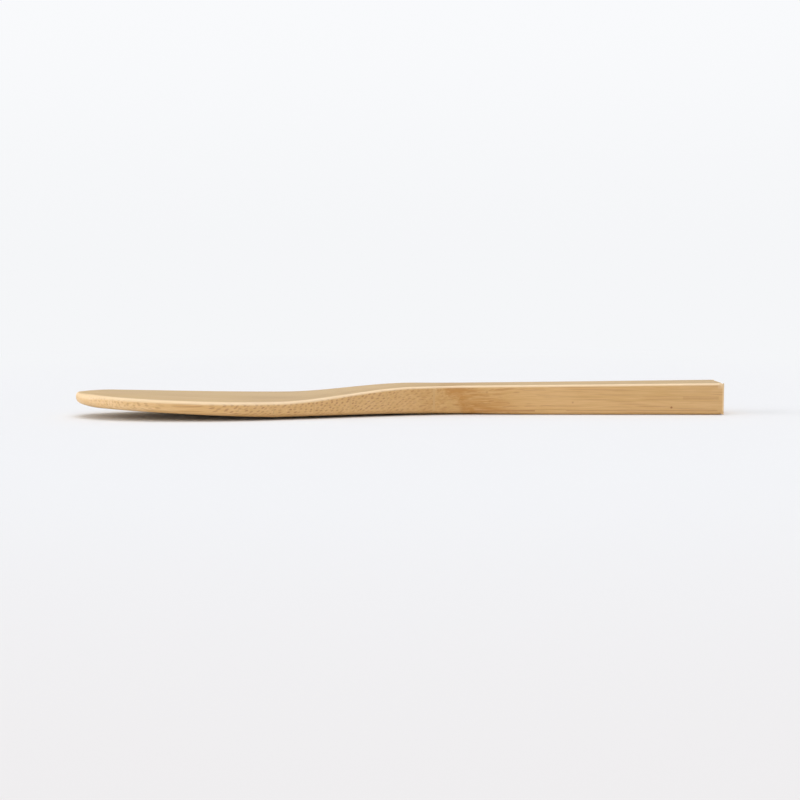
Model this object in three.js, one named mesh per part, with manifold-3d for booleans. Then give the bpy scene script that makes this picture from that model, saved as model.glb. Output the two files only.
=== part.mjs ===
// A bamboo cooking spatula: upright bamboo strips glued face to face into one blank,
// which is cut to a slim handle and a broad, one-sided blade and rounded along its edges.
// Millimetres. +X runs along the handle away from the blade, -Y is the blade's fuller side
// ("near"), +Y its narrower side ("far"), and +Z points up from the table.

import * as THREE from 'three';
import { mergeVertices } from 'three/addons/utils/BufferGeometryUtils.js';
import Module from 'manifold-3d';

// Outline seen from above. Distances along the spatula are measured from the tip of the blade,
// and distances across it from the centre line of the handle.
const LENGTH = 300;
const HANDLE_NECK_WIDTH = 18.2;
const HANDLE_END_WIDTH = 21.6;
const NEAR_REACH = 38.7;
const FAR_REACH = 22.5;
const NEAR_WIDEST_FROM_TIP = 57;
const FAR_WIDEST_FROM_TIP = 100;
const NEAR_NECK_FROM_TIP = 187;
const FAR_NECK_FROM_TIP = 178;
const TIP_OFFSET = 12.4;
const NEAR_NOSE_POWER = 2.45;
const FAR_NOSE_POWER = 1.3;

// Outline seen from the side.
const HANDLE_END_HEIGHT = 14.85;
const HANDLE_NECK_HEIGHT = 13.4;
const VALLEY_HEIGHT = 8.3;
const TIP_HEIGHT = 11.8;
const TIP_LIFT = 4.95;
const SHOULDER_FROM_TIP = 158;
const VALLEY_FROM_TIP = 94;
const UNDERSIDE_RISE_FROM_TIP = 92;
const TOP_CURL_POWER = 1.65;
const UNDERSIDE_CURL_POWER = 1.05;

// The nose is thinned towards the tip, where its faces lose these heights.
const NOSE_THINNING_FROM_TIP = 14;
const NOSE_TOP_THINNING = 1.1;
const NOSE_UNDERSIDE_THINNING = 1.65;

// The blade's faces are gently crowned: their middle stands proud of their edges by these heights,
// which die away along the neck.
const TOP_CROWN = 0.5;
const UNDERSIDE_CROWN = 1.5;
const CROWN_FADE_START_FROM_TIP = 138;
const CROWN_FADE_END_FROM_TIP = 222;

// Rounded edges. They are fullest round the nose, and the lower ones run further in than up.
const NOSE_RADIUS = 3;
const NOSE_ROUNDING_FROM_TIP = 18;
const LOWER_EDGE_SPREAD = 1.5;
const HANDLE_TOP_RADIUS = 1.2;
const HANDLE_BOTTOM_RADIUS = 1.3;
const BLADE_TOP_RADIUS = 1.7;
const BLADE_BOTTOM_RADIUS = 1.8;
const CORNER_EASE = 0.4;
const ROUNDED_SHARE_OF_THICKNESS = 0.48;

// The glued blank. Strips of even thickness share the handle's width at the neck, and others the
// width that the blade adds at each side. The strip at each side of the handle is thick enough for
// the handle's whole flare, so that no glue line runs out along the handle.
const HANDLE_STRIPS = 4;
const NEAR_BLADE_STRIPS = 5;
const FAR_BLADE_STRIPS = 2;
const SIDE_STRIP_SPARE = 0.6;
const GLUE_FILM = 0.15;

// How finely the curved faces are divided.
const NOSE_STEPS = 11;
const BLADE_STEP = 11;
const CROWN_STEPS = 6;
const CORNER_STEPS = 3;
const EDGE_STEPS = 3;

// Finish.
const BAMBOO_COLOURS = ['#cfa673', '#d3ab78', '#cba26e'];
const GLUE_COLOUR = '#b98d58';
const BAMBOO_ROUGHNESS = 0.55;
const GLUE_ROUGHNESS = 0.4;

const { clamp, lerp, smoothstep } = THREE.MathUtils;
const neckHalf = HANDLE_NECK_WIDTH / 2;
const endHalf = HANDLE_END_WIDTH / 2;
const deepestHandleEdge = Math.max(HANDLE_TOP_RADIUS, HANDLE_BOTTOM_RADIUS * LOWER_EDGE_SPREAD);
const cornerRadius = deepestHandleEdge + CORNER_EASE;

// 0 at the shoulder, where the handle begins, and 1 at its end.
function alongHandle(fromTip) {
  return clamp((fromTip - SHOULDER_FROM_TIP) / (LENGTH - SHOULDER_FROM_TIP), 0, 1);
}

// Distance of one side from the centre line: a rounded nose from the tip to the widest place,
// then an S-curve in to the handle.
function sideReach(fromTip, { reach, widest, neck, nosePower, tipOffset }) {
  if (fromTip < widest) {
    const towardsTip = 1 - fromTip / widest;
    return tipOffset + (reach - tipOffset) * Math.sqrt(1 - towardsTip ** nosePower);
  }
  const handleHalf = lerp(neckHalf, endHalf, alongHandle(fromTip));
  return lerp(reach, handleHalf, smoothstep(fromTip, widest, neck));
}

const NEAR_SIDE = {
  reach: NEAR_REACH,
  widest: NEAR_WIDEST_FROM_TIP,
  neck: NEAR_NECK_FROM_TIP,
  nosePower: NEAR_NOSE_POWER,
  tipOffset: TIP_OFFSET,
};
const FAR_SIDE = {
  reach: FAR_REACH,
  widest: FAR_WIDEST_FROM_TIP,
  neck: FAR_NECK_FROM_TIP,
  nosePower: FAR_NOSE_POWER,
  tipOffset: -TIP_OFFSET,
};

// 1 at the tip and 0 where the nose has its whole thickness.
function noseThinning(fromTip) {
  return Math.max(0, 1 - fromTip / NOSE_THINNING_FROM_TIP) ** 2;
}

// Height of the upper face at its edges: it curls up to the thinned tip, dips in the blade's valley
// and climbs an S-shaped shoulder to the handle.
function topHeight(fromTip) {
  if (fromTip < VALLEY_FROM_TIP) {
    const towardsTip = 1 - fromTip / VALLEY_FROM_TIP;
    const curl = (TIP_HEIGHT - VALLEY_HEIGHT) * towardsTip ** TOP_CURL_POWER;
    return VALLEY_HEIGHT + curl - NOSE_TOP_THINNING * noseThinning(fromTip);
  }
  const handleTop = lerp(HANDLE_NECK_HEIGHT, HANDLE_END_HEIGHT, alongHandle(fromTip));
  return lerp(VALLEY_HEIGHT, handleTop, smoothstep(fromTip, VALLEY_FROM_TIP, SHOULDER_FROM_TIP));
}

// Height of the underside along its middle: flat on the table, then rising to the thinned tip.
function undersideHeight(fromTip) {
  const towardsTip = Math.max(0, 1 - fromTip / UNDERSIDE_RISE_FROM_TIP);
  const curl = TIP_LIFT * towardsTip ** UNDERSIDE_CURL_POWER;
  return curl + NOSE_UNDERSIDE_THINNING * noseThinning(fromTip);
}

// 1 where the blade's faces have their whole crown, and 0 along the handle.
function crownShare(fromTip) {
  return 1 - smoothstep(fromTip, CROWN_FADE_START_FROM_TIP, CROWN_FADE_END_FROM_TIP);
}

// How far a place lies from the middle between both sides: 0 there and 1 at either side, squared.
function fromMiddleSquared(place) {
  const near = -sideReach(place.x, NEAR_SIDE);
  const far = sideReach(place.x, FAR_SIDE);
  const fromMiddle = (2 * place.y - near - far) / Math.max(far - near, Number.EPSILON);
  return Math.min(fromMiddle ** 2, 1);
}

// Heights of the crowned faces at any place.
function topAt(place) {
  return topHeight(place.x) + TOP_CROWN * crownShare(place.x) * (1 - fromMiddleSquared(place));
}

function undersideAt(place) {
  return undersideHeight(place.x) + UNDERSIDE_CROWN * crownShare(place.x) * fromMiddleSquared(place);
}

// An edge radius changes from the nose's to the blade's, and along the shoulder to the handle's.
// It never takes more than its share of the thickness at the edge.
function edgeRadius(fromTip, bladeRadius, handleRadius) {
  const noseShare = 1 - smoothstep(fromTip, 0, NOSE_ROUNDING_FROM_TIP);
  const handleShare = smoothstep(fromTip, VALLEY_FROM_TIP, SHOULDER_FROM_TIP);
  const radius = lerp(lerp(bladeRadius, NOSE_RADIUS, noseShare), handleRadius, handleShare);
  const lift = undersideHeight(fromTip) + UNDERSIDE_CROWN * crownShare(fromTip);
  const thickness = topHeight(fromTip) - lift;
  return Math.min(radius, ROUNDED_SHARE_OF_THICKNESS * thickness);
}

// Places along the spatula where its outline gets a point: crowded towards the round nose, evenly
// spaced between the places where a curve starts or ends, and few along the straight handle.
function outlineStations() {
  const marks = [
    NEAR_WIDEST_FROM_TIP,
    FAR_WIDEST_FROM_TIP,
    UNDERSIDE_RISE_FROM_TIP,
    SHOULDER_FROM_TIP,
    NEAR_NECK_FROM_TIP,
    FAR_NECK_FROM_TIP,
    CROWN_FADE_END_FROM_TIP,
  ].sort((a, b) => a - b);
  const stations = [];
  for (let step = 0; step <= NOSE_STEPS; step++) {
    const turn = (step / NOSE_STEPS) * (Math.PI / 2);
    stations.push(marks[0] * (1 - Math.cos(turn)));
  }
  for (let mark = 1; mark < marks.length; mark++) {
    const steps = Math.ceil((marks[mark] - marks[mark - 1]) / BLADE_STEP);
    for (let step = 1; step <= steps; step++) {
      stations.push(lerp(marks[mark - 1], marks[mark], step / steps));
    }
  }
  return stations;
}

// The outline of one side from the tip to the end of the handle, ending in a rounded corner.
// The side is -1 for the near side and 1 for the far side.
function sideOutline(side, shape) {
  const points = outlineStations().map(
    (fromTip) => new THREE.Vector2(fromTip, side * sideReach(fromTip, shape)),
  );
  for (let step = 0; step <= CORNER_STEPS; step++) {
    const turn = (step / CORNER_STEPS) * (Math.PI / 2);
    const fromTip = LENGTH - cornerRadius * (1 - Math.sin(turn));
    const reach = endHalf - cornerRadius * (1 - Math.cos(turn));
    points.push(new THREE.Vector2(fromTip, side * reach));
  }
  return points;
}

// The direction square to a closed, anticlockwise outline, pointing inwards at each point.
function inwardDirections(outline) {
  const squareTo = (from, to) => {
    const along = to.clone().sub(from).normalize();
    return new THREE.Vector2(-along.y, along.x);
  };
  return outline.map((point, i) => {
    const before = outline[(i + outline.length - 1) % outline.length];
    const after = outline[(i + 1) % outline.length];
    return squareTo(before, point).add(squareTo(point, after)).normalize();
  });
}

// The edge's rounded profile, from the upper face round to the underside, as rings: how far each
// ring lies inside the outline and how far below the upper face or above the underside.
function edgeRings() {
  const rings = [];
  for (let step = 0; step <= EDGE_STEPS; step++) {
    const turn = (step / EDGE_STEPS) * (Math.PI / 2);
    rings.push({ upper: true, inset: 1 - Math.sin(turn), drop: 1 - Math.cos(turn) });
  }
  for (let step = 0; step <= EDGE_STEPS; step++) {
    const turn = (step / EDGE_STEPS) * (Math.PI / 2);
    rings.push({ upper: false, inset: 1 - Math.cos(turn), drop: 1 - Math.sin(turn) });
  }
  return rings;
}

// Triangles between two rungs of points, which may differ in number. Both run the same way.
function joinRungs(first, second, addTriangle) {
  let a = 0;
  let b = 0;
  while (a < first.length - 1 || b < second.length - 1) {
    const afterA = (a + 1) / (first.length - 1);
    const afterB = (b + 1) / (second.length - 1);
    const moveA = b === second.length - 1 || (a < first.length - 1 && afterA <= afterB);
    if (moveA) {
      addTriangle(first[a], second[b], first[a + 1]);
      a += 1;
    } else {
      addTriangle(first[a], second[b], second[b + 1]);
      b += 1;
    }
  }
}

// The whole rounded body as one closed surface: rings round the edge, and an upper face and an
// underside laid as rungs between the two sides.
function bodyGeometry() {
  const near = sideOutline(-1, NEAR_SIDE);
  const far = sideOutline(1, FAR_SIDE);
  const last = near.length - 1;
  const outline = [...near, ...far.slice(1).reverse()];
  const inward = inwardDirections(outline);
  const count = outline.length;
  const rings = edgeRings();
  const positions = [];
  const indices = [];

  for (const ring of rings) {
    outline.forEach((point, i) => {
      const radius = ring.upper
        ? edgeRadius(point.x, BLADE_TOP_RADIUS, HANDLE_TOP_RADIUS)
        : edgeRadius(point.x, BLADE_BOTTOM_RADIUS, HANDLE_BOTTOM_RADIUS);
      const depth = ring.upper ? radius : radius * LOWER_EDGE_SPREAD;
      const place = point.clone().addScaledVector(inward[i], depth * ring.inset);
      const height = ring.upper
        ? topAt(place) - radius * ring.drop
        : undersideAt(place) + radius * ring.drop;
      positions.push(place.x - LENGTH / 2, place.y, height);
    });
  }

  const quad = (a, b, c, d) => indices.push(a, b, c, a, c, d);
  for (let ring = 0; ring < rings.length - 1; ring++) {
    for (let i = 0; i < count; i++) {
      const next = (i + 1) % count;
      quad(ring * count + i, (ring + 1) * count + i, (ring + 1) * count + next, ring * count + next);
    }
  }

  // A rung of a face from the near side to the far side, with points between them where the face
  // is crowned. The face's ring starts at the vertex with the index ringStart.
  const rung = (i, ringStart, heightAt) => {
    if (i === 0) return [ringStart];
    const nearEnd = ringStart + i;
    const farEnd = ringStart + count - i;
    if (crownShare(outline[i].x) === 0) return [nearEnd, farEnd];
    const planPoint = (index) =>
      new THREE.Vector2(positions[3 * index] + LENGTH / 2, positions[3 * index + 1]);
    const between = [];
    for (let step = 1; step < CROWN_STEPS; step++) {
      const place = planPoint(nearEnd).lerp(planPoint(farEnd), step / CROWN_STEPS);
      between.push(positions.length / 3);
      positions.push(place.x - LENGTH / 2, place.y, heightAt(place));
    }
    return [nearEnd, ...between, farEnd];
  };
  const rungs = (ringStart, heightAt) => near.map((_, i) => rung(i, ringStart, heightAt));
  const upperRungs = rungs(0, topAt);
  const lowerRungs = rungs((rings.length - 1) * count, undersideAt);
  for (let i = 0; i < last; i++) {
    joinRungs(upperRungs[i], upperRungs[i + 1], (a, b, c) => indices.push(a, b, c));
    joinRungs(lowerRungs[i], lowerRungs[i + 1], (a, b, c) => indices.push(a, c, b));
  }

  const geometry = new THREE.BufferGeometry();
  geometry.setAttribute('position', new THREE.Float32BufferAttribute(positions, 3));
  geometry.setIndex(indices);
  return geometry;
}

// Where glue lines cross the spatula: those at each side are counted outwards from the handle.
function glueLinePlaces() {
  const sideLine = endHalf + SIDE_STRIP_SPARE;
  const bladeLines = (reach, strips) =>
    Array.from({ length: strips }, (_, i) => lerp(sideLine, reach, i / strips));
  const handleLines = Array.from({ length: HANDLE_STRIPS - 1 }, (_, i) =>
    lerp(-neckHalf, neckHalf, (i + 1) / HANDLE_STRIPS),
  );
  return {
    near: bladeLines(NEAR_REACH, NEAR_BLADE_STRIPS),
    handle: handleLines,
    far: bladeLines(FAR_REACH, FAR_BLADE_STRIPS),
  };
}

const wasm = await Module();
wasm.setup();

function solidFrom(geometry) {
  return new wasm.Manifold(
    new wasm.Mesh({
      numProp: 3,
      vertProperties: new Float32Array(geometry.getAttribute('position').array),
      triVerts: new Uint32Array(geometry.getIndex().array),
    }),
  );
}

function geometryFrom(solid) {
  const mesh = solid.getMesh();
  const geometry = new THREE.BufferGeometry();
  geometry.setAttribute('position', new THREE.BufferAttribute(mesh.vertProperties, 3));
  geometry.setIndex(new THREE.BufferAttribute(mesh.triVerts, 1));
  return geometry;
}

// An upright slab across the whole spatula between two planes, each given by its place in Y.
function slabBetween(nearPlane, farPlane) {
  const box = new THREE.BoxGeometry(2 * LENGTH, 1, 2 * LENGTH);
  box.deleteAttribute('normal');
  box.deleteAttribute('uv');
  const slab = mergeVertices(box);
  const position = slab.getAttribute('position');
  for (let i = 0; i < position.count; i++) {
    position.setY(i, position.getY(i) < 0 ? nearPlane : farPlane);
  }
  return solidFrom(slab);
}

const body = solidFrom(bodyGeometry());
const spatula = new THREE.Group();
spatula.name = 'bamboo_spatula';
// The origin lies on the table, under the middle of the spatula's length and width.
spatula.position.y = (NEAR_REACH - FAR_REACH) / 2;

function addPiece(name, nearPlane, farPlane, material) {
  const piece = new THREE.Mesh(geometryFrom(body.intersect(slabBetween(nearPlane, farPlane))), material);
  piece.name = name;
  spatula.add(piece);
}

const glueMaterial = new THREE.MeshStandardMaterial({
  color: GLUE_COLOUR,
  roughness: GLUE_ROUGHNESS,
  metalness: 0,
});

function bambooMaterial(stripIndex) {
  return new THREE.MeshStandardMaterial({
    color: BAMBOO_COLOURS[stripIndex % BAMBOO_COLOURS.length],
    roughness: BAMBOO_ROUGHNESS,
    metalness: 0,
  });
}

// Strips and glue films in their order across the spatula. The strips of the handle run its whole
// length, and those beside it, counted outwards, widen the blade.
const places = glueLinePlaces();
const lines = [...places.near.map((place) => -place).reverse(), ...places.handle, ...places.far];
const lineNames = [
  ...places.near.map((_, i) => `near_glue_line_${i + 1}`).reverse(),
  ...places.handle.map((_, i) => `handle_glue_line_${i + 1}`),
  ...places.far.map((_, i) => `far_glue_line_${i + 1}`),
];
const stripNames = [
  ...places.near.map((_, i) => `near_strip_${i + 1}`).reverse(),
  ...Array.from({ length: places.handle.length + 1 }, (_, i) => `handle_strip_${i + 1}`),
  ...places.far.map((_, i) => `far_strip_${i + 1}`),
];
const outside = 2 * LENGTH;

stripNames.forEach((name, i) => {
  const nearPlane = i === 0 ? -outside : lines[i - 1] + GLUE_FILM / 2;
  const farPlane = i === lines.length ? outside : lines[i] - GLUE_FILM / 2;
  addPiece(name, nearPlane, farPlane, bambooMaterial(i));
});
lineNames.forEach((name, i) => {
  addPiece(name, lines[i] - GLUE_FILM / 2, lines[i] + GLUE_FILM / 2, glueMaterial);
});

export default spatula;
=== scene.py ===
"""The looks of a bamboo cooking spatula: its bamboo strips, the glue between them, a stage and a camera.

Lengths are metres in the part's own frame: +X along the handle away from the blade, -Y towards the blade's
fuller side ("near"), +Y towards its narrower side ("far") and +Z up from the table.
"""

import math

import bmesh
import bpy
import numpy as np
from bpy.props import FloatProperty, FloatVectorProperty, IntProperty, PointerProperty
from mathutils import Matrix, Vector


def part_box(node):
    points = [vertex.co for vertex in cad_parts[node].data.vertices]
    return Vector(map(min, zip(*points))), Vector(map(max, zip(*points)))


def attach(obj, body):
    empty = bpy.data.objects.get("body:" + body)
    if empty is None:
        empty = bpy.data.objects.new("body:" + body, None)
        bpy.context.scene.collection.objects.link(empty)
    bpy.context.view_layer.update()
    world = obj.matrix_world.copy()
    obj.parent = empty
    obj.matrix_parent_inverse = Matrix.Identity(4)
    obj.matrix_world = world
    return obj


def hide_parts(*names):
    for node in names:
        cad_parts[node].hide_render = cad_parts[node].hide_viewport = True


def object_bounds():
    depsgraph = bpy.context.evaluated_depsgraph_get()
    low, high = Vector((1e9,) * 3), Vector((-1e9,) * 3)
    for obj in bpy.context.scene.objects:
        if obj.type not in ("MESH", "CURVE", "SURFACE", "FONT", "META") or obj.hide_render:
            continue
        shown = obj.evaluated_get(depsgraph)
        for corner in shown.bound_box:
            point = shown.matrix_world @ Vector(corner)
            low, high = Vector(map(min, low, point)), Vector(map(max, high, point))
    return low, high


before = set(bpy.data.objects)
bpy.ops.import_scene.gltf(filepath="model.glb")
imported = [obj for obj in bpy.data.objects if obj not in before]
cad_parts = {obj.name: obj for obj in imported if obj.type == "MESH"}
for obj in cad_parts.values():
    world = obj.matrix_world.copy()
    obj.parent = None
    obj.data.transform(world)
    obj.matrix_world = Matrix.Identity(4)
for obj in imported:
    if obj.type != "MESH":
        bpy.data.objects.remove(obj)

bl_info = {
    "name": "Bamboo Spatula",
    "version": (1, 0, 0),
    "blender": (4, 5, 0),
    "location": "View3D > Sidebar > Spatula",
    "description": "Builds a cooking spatula of glued bamboo strips on a pale studio floor",
    "category": "Object",
}

MM = 0.001
CAD_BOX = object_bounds()
STRIP_NODES = sorted(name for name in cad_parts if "_strip_" in name)
GLUE_NODES = sorted(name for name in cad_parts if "_glue_line_" in name)

# The handle's centre line runs between its two middle strips.
HANDLE_AXIS = (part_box("handle_strip_2")[1].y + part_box("handle_strip_3")[0].y) / 2
# Paleness of the rounded edges: partly sanding wear, partly a painted highlight.
WEAR_AND_HIGHLIGHT_EDGE = "worn_edge"
BROAD_FACE = "broad_face"
PHOTO_WIDTH = 800
SENSOR_WIDTH = 36.0

# Divisions of the outline from above, to which depths inside it are measured.
OUTLINE_NOSE_POINTS = 700
OUTLINE_FLANK_STEP = 0.25 * MM
OUTLINE_HANDLE_STEP = 1 * MM
OUTLINE_CORNER_POINTS = 40
OUTLINE_END_POINTS = 60
POINTS_AT_ONCE = 4000

# Depths are measured up to this many times the deepest rounded edge.
DEPTH_MARGIN = 1.2

# The search for a slab's ends: places tried, then halvings of the gap that is left.
SPAN_PLACES = 20001
SPAN_HALVINGS = 50

# Most of a slab that its fine start or end takes, and the fewest steps between them.
FINE_SHARE = 0.3
FEWEST_STEPS = 4

# Where a broad face begins, as a share of its rounded edge.
FACE_START = 0.3

# The pale corner at the end of the handle, a painted highlight where its rounding catches the light: its
# strength, and its share of the corner's rounding.
CORNER_HIGHLIGHT = 0.7
CORNER_HIGHLIGHT_SHARE = 0.35

# Lengths below which points or edges count as one, and within which a node touches the part's box.
MERGE_DISTANCE = 2e-7
SHORTEST_EDGE = 1e-8
BOX_TOUCH = 0.01 * MM

# Least divisors, which keep a share finite where a width or a segment has shrunk to nothing.
LEAST_WIDTH = 1e-9
LEAST_SQUARE = 1e-18
SHARP_ANGLE = math.radians(35)


def size(name, description, millimetres):
    """A length that a user can set, given in millimetres."""
    return FloatProperty(
        name=name, description=description, default=millimetres * MM, unit="LENGTH", precision=5
    )


def number(name, description, value):
    """A plain number that a user can set."""
    return FloatProperty(name=name, description=description, default=value, precision=3)


def angle(name, description, degrees):
    """An angle that a user can set, given in degrees."""
    return FloatProperty(name=name, description=description, default=math.radians(degrees), subtype="ANGLE")


def srgb(red, green, blue):
    """A display colour of 0 to 255 a channel as linear light."""
    parts = np.array((red, green, blue)) / 255
    linear = np.where(parts <= 0.04045, parts / 12.92, ((parts + 0.055) / 1.055) ** 2.4)
    return tuple(float(part) for part in linear)


def colour(name, description, red, green, blue):
    """A colour that a user can set, given as display values of 0 to 255."""
    return FloatVectorProperty(
        name=name, description=description, default=srgb(red, green, blue), subtype="COLOR", min=0, max=1
    )


class SpatulaShape(bpy.types.PropertyGroup):
    """Sizes of the spatula. Places along it are measured from the tip of the blade."""

    length: size("Length", "Tip of the blade to the end of the handle", 300)
    neck_width: size("Neck width", "Width of the handle at the neck", 18.2)
    end_width: size("End width", "Width of the handle at its end", 21.6)
    near_reach: size("Near reach", "Handle axis to the blade's fuller side", 38.7)
    far_reach: size("Far reach", "Handle axis to the blade's narrower side", 22.5)
    near_widest: size("Near widest", "Place of the fuller side's widest point", 57)
    far_widest: size("Far widest", "Place of the narrower side's widest point", 100)
    near_neck: size("Near neck", "Place where the fuller side meets the handle", 187)
    far_neck: size("Far neck", "Place where the narrower side meets the handle", 178)
    tip_offset: size("Tip offset", "Handle axis to the tip, towards the fuller side", 12.4)
    near_nose_power: number("Near nose power", "Fullness of the nose on the fuller side", 2.45)
    far_nose_power: number("Far nose power", "Fullness of the nose on the narrower side", 1.3)
    end_height: size("End height", "Height of the handle at its end", 14.85)
    neck_height: size("Neck height", "Height of the handle at the shoulder", 13.4)
    valley_height: size("Valley height", "Lowest height of the upper face", 8.3)
    tip_height: size("Tip height", "Height of the upper face at the tip", 11.8)
    tip_lift: size("Tip lift", "Height of the underside at the tip", 4.95)
    shoulder: size("Shoulder", "Place where the handle begins", 158)
    valley: size("Valley", "Place of the upper face's lowest point", 94)
    underside_rise: size("Underside rise", "Place where the underside leaves the table", 92)
    top_curl_power: number("Top curl power", "How late the upper face curls up to the tip", 1.65)
    underside_curl_power: number("Underside curl power", "How late the underside curls up", 1.05)
    nose_thinning: size("Nose thinning", "Place where the nose begins to thin towards the tip", 14)
    nose_top_thinning: size("Nose top thinning", "Height that the upper face loses at the tip", 1.1)
    nose_under_thinning: size("Nose under thinning", "Height that the underside gains at the tip", 1.65)
    top_crown: size("Top crown", "How far the middle of the blade's upper face stands above its edges", 0.5)
    underside_crown: size("Underside crown", "How far the blade's underside hangs below its edges", 1.5)
    crown_fade_start: size("Crown fade start", "Place where the blade's crowned faces begin to flatten", 138)
    crown_fade_end: size("Crown fade end", "Place from which the handle's faces are flat", 222)
    nose_radius: size("Nose radius", "Rounding of the edges round the nose", 3)
    nose_rounding: size("Nose rounding", "Place where the nose's fuller rounding ends", 18)
    lower_edge_spread: number("Lower edge spread", "How much further the lower edges run in than up", 1.5)
    handle_top_radius: size("Handle top radius", "Rounding of the handle's upper edges", 1.2)
    handle_bottom_radius: size("Handle bottom radius", "Rounding of the handle's lower edges", 1.3)
    blade_top_radius: size("Blade top radius", "Rounding of the blade's upper edges", 1.7)
    blade_bottom_radius: size("Blade bottom radius", "Rounding of the blade's lower edges", 1.8)
    corner_ease: size("Corner ease", "Rounding of the end's corners beyond that of its edges", 0.4)
    rounded_share: number("Rounded share", "Most of the thickness that one rounded edge takes", 0.48)


class SpatulaMesh(bpy.types.PropertyGroup):
    """How finely the surfaces are divided."""

    spacing: size("Spacing", "Step along the spatula", 1.0)
    nose_stretch: size("Nose stretch", "Length of the finely divided start of a strip", 10)
    tail_stretch: size("Tail stretch", "Length of the finely divided end of a strip", 4)
    nose_steps: IntProperty(name="Nose steps", description="Divisions at the start of a strip", default=44)
    tail_steps: IntProperty(name="Tail steps", description="Divisions at the end of a strip", default=30)
    strip_columns: IntProperty(name="Strip columns", description="Points across a strip", default=26)
    glue_columns: IntProperty(name="Glue columns", description="Points across a glue film", default=3)
    wall_rows: IntProperty(name="Wall rows", description="Points up a side between its edges", default=5)


class SpatulaFinish(bpy.types.PropertyGroup):
    """Colours and grain of the bamboo and the glue."""

    ground: colour("Ground", "Soft tissue between the fibre bundles", 215, 171, 109)
    bundle: colour("Bundle", "Fibre bundles", 165, 104, 48)
    stem_node: colour("Stem node", "Joint of the bamboo stem", 188, 128, 42)
    # Nose colour: partly pale sanded end grain, partly painted light on the sides that turn towards the
    # lamps.
    pale: colour("Pale nose", "Sanded end grain at the nose of the blade", 246, 212, 162)
    glue: colour("Glue", "Hardened glue between the strips", 200, 157, 100)
    # Edge colour: partly sanding wear, partly a painted highlight on the rounded edges.
    wear_and_highlight: colour("Worn edge", "Edges rubbed pale by sanding", 250, 224, 184)
    # Painted shade: the broad faces are tinted darker and cooler than the sides.
    painted_shade: colour("Planed tint", "Tint of the broad faces against the sides", 231, 241, 248)
    inner_spacing: size("Inner spacing", "Distance between fibre bundles towards the stem's hollow", 0.78)
    outer_spacing: size("Outer spacing", "Distance between fibre bundles at the stem's outer skin", 0.5)
    layer_spacing: size("Layer spacing", "Distance between fibre bundles around the stem", 1.2)
    node_place: size("Stem node place", "Tip of the blade to the start of the stem's joint", 173)
    node_length: size("Stem node length", "Length of the darkest part of the stem's joint", 13)
    node_tail: size("Stem node tail", "Length over which the joint's darkening dies away", 42)


class SpatulaStage(bpy.types.PropertyGroup):
    """Camera, light and floor."""

    camera_elevation: angle("Camera elevation", "Angle of the view above the table", 5.4)
    camera_turn: angle("Camera turn", "Turn of the view to the blade's side", 0.34)
    camera_distance: size("Camera distance", "Camera to the point that it looks at", 651)
    focal_pixels: number("Focal length", "Focal length in pixels of the picture", 1379)
    aim_along: size("Aim along", "Point looked at, along the spatula from its middle", -0.5)
    aim_height: size("Aim height", "Height of the point looked at", 6.07)
    sky_strength: number("Sky strength", "Even light from all round", 0.53)
    top_strength: number("Top light", "Strength of the soft light above", 0.95)
    top_azimuth: angle("Top azimuth", "Direction of the light above, from the front towards the blade", 180)
    top_elevation: angle("Top elevation", "Height of the light above", 88)
    top_spread: angle("Top spread", "Angle that the light above fills", 45)
    front_strength: number("Front light", "Strength of the soft light in front", 0.5)
    front_azimuth: angle(
        "Front azimuth", "Direction of the light in front, from the front towards the blade", -10
    )
    front_elevation: angle("Front elevation", "Height of the light in front", 35)
    front_spread: angle("Front spread", "Angle that the light in front fills", 50)
    side_strength: number("Side light", "Strength of the low soft light beside the blade", 1.2)
    side_azimuth: angle("Side azimuth", "Direction of the light beside the blade, from the front", 85)
    side_elevation: angle("Side elevation", "Height of the light beside the blade", 12)
    side_spread: angle("Side spread", "Angle that the light beside the blade fills", 36)
    floor: colour("Floor", "Floor under the spatula", 243, 244, 247)
    floor_near: colour("Floor near", "Backdrop close to the camera", 239, 237, 238)
    floor_far: colour("Floor far", "Backdrop behind the spatula", 245, 246, 248)
    sky_top: colour("Sky top", "Backdrop at the top of the picture", 249, 250, 252)


def settings():
    """The property groups of the current scene."""
    return bpy.context.scene.bamboo_spatula


# Shape of the spatula. Every function takes arrays of places from the tip.


def smoothstep(value, low, high):
    """An S-curve from 0 at low to 1 at high: 3t^2 - 2t^3."""
    t = np.clip((value - low) / (high - low), 0, 1)
    return t * t * (3 - 2 * t)


def mix(first, second, share):
    """A straight mix of two values."""
    return first + (second - first) * share


def along_handle(shape, place):
    """0 at the shoulder and 1 at the end of the handle."""
    return np.clip((place - shape.shoulder) / (shape.length - shape.shoulder), 0, 1)


def side_reach(shape, place, reach, widest, neck, power, tip_offset):
    """One side's distance from the handle's axis: a nose of the form
    tip + (reach - tip) * sqrt(1 - (1 - place/widest)^power) up to the widest place, then an S-curve in to the
    handle's half width."""
    towards_tip = np.clip(1 - place / widest, 0, 1)
    nose = tip_offset + (reach - tip_offset) * np.sqrt(1 - towards_tip**power)
    handle = mix(shape.neck_width, shape.end_width, along_handle(shape, place)) / 2
    flank = mix(reach, handle, smoothstep(place, widest, neck))
    return np.where(place < widest, nose, flank)


def near_edge(shape, place):
    """Y of the fuller side's outline from the handle's axis, which is negative."""
    widest, neck, power = shape.near_widest, shape.near_neck, shape.near_nose_power
    return -side_reach(shape, place, shape.near_reach, widest, neck, power, shape.tip_offset)


def far_edge(shape, place):
    """Y of the narrower side's outline from the handle's axis."""
    widest, neck, power = shape.far_widest, shape.far_neck, shape.far_nose_power
    return side_reach(shape, place, shape.far_reach, widest, neck, power, -shape.tip_offset)


def nose_share(shape, place):
    """1 at the tip and 0 where the nose has its whole thickness: the square of the way to the tip."""
    return np.clip(1 - place / shape.nose_thinning, 0, 1) ** 2


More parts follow.
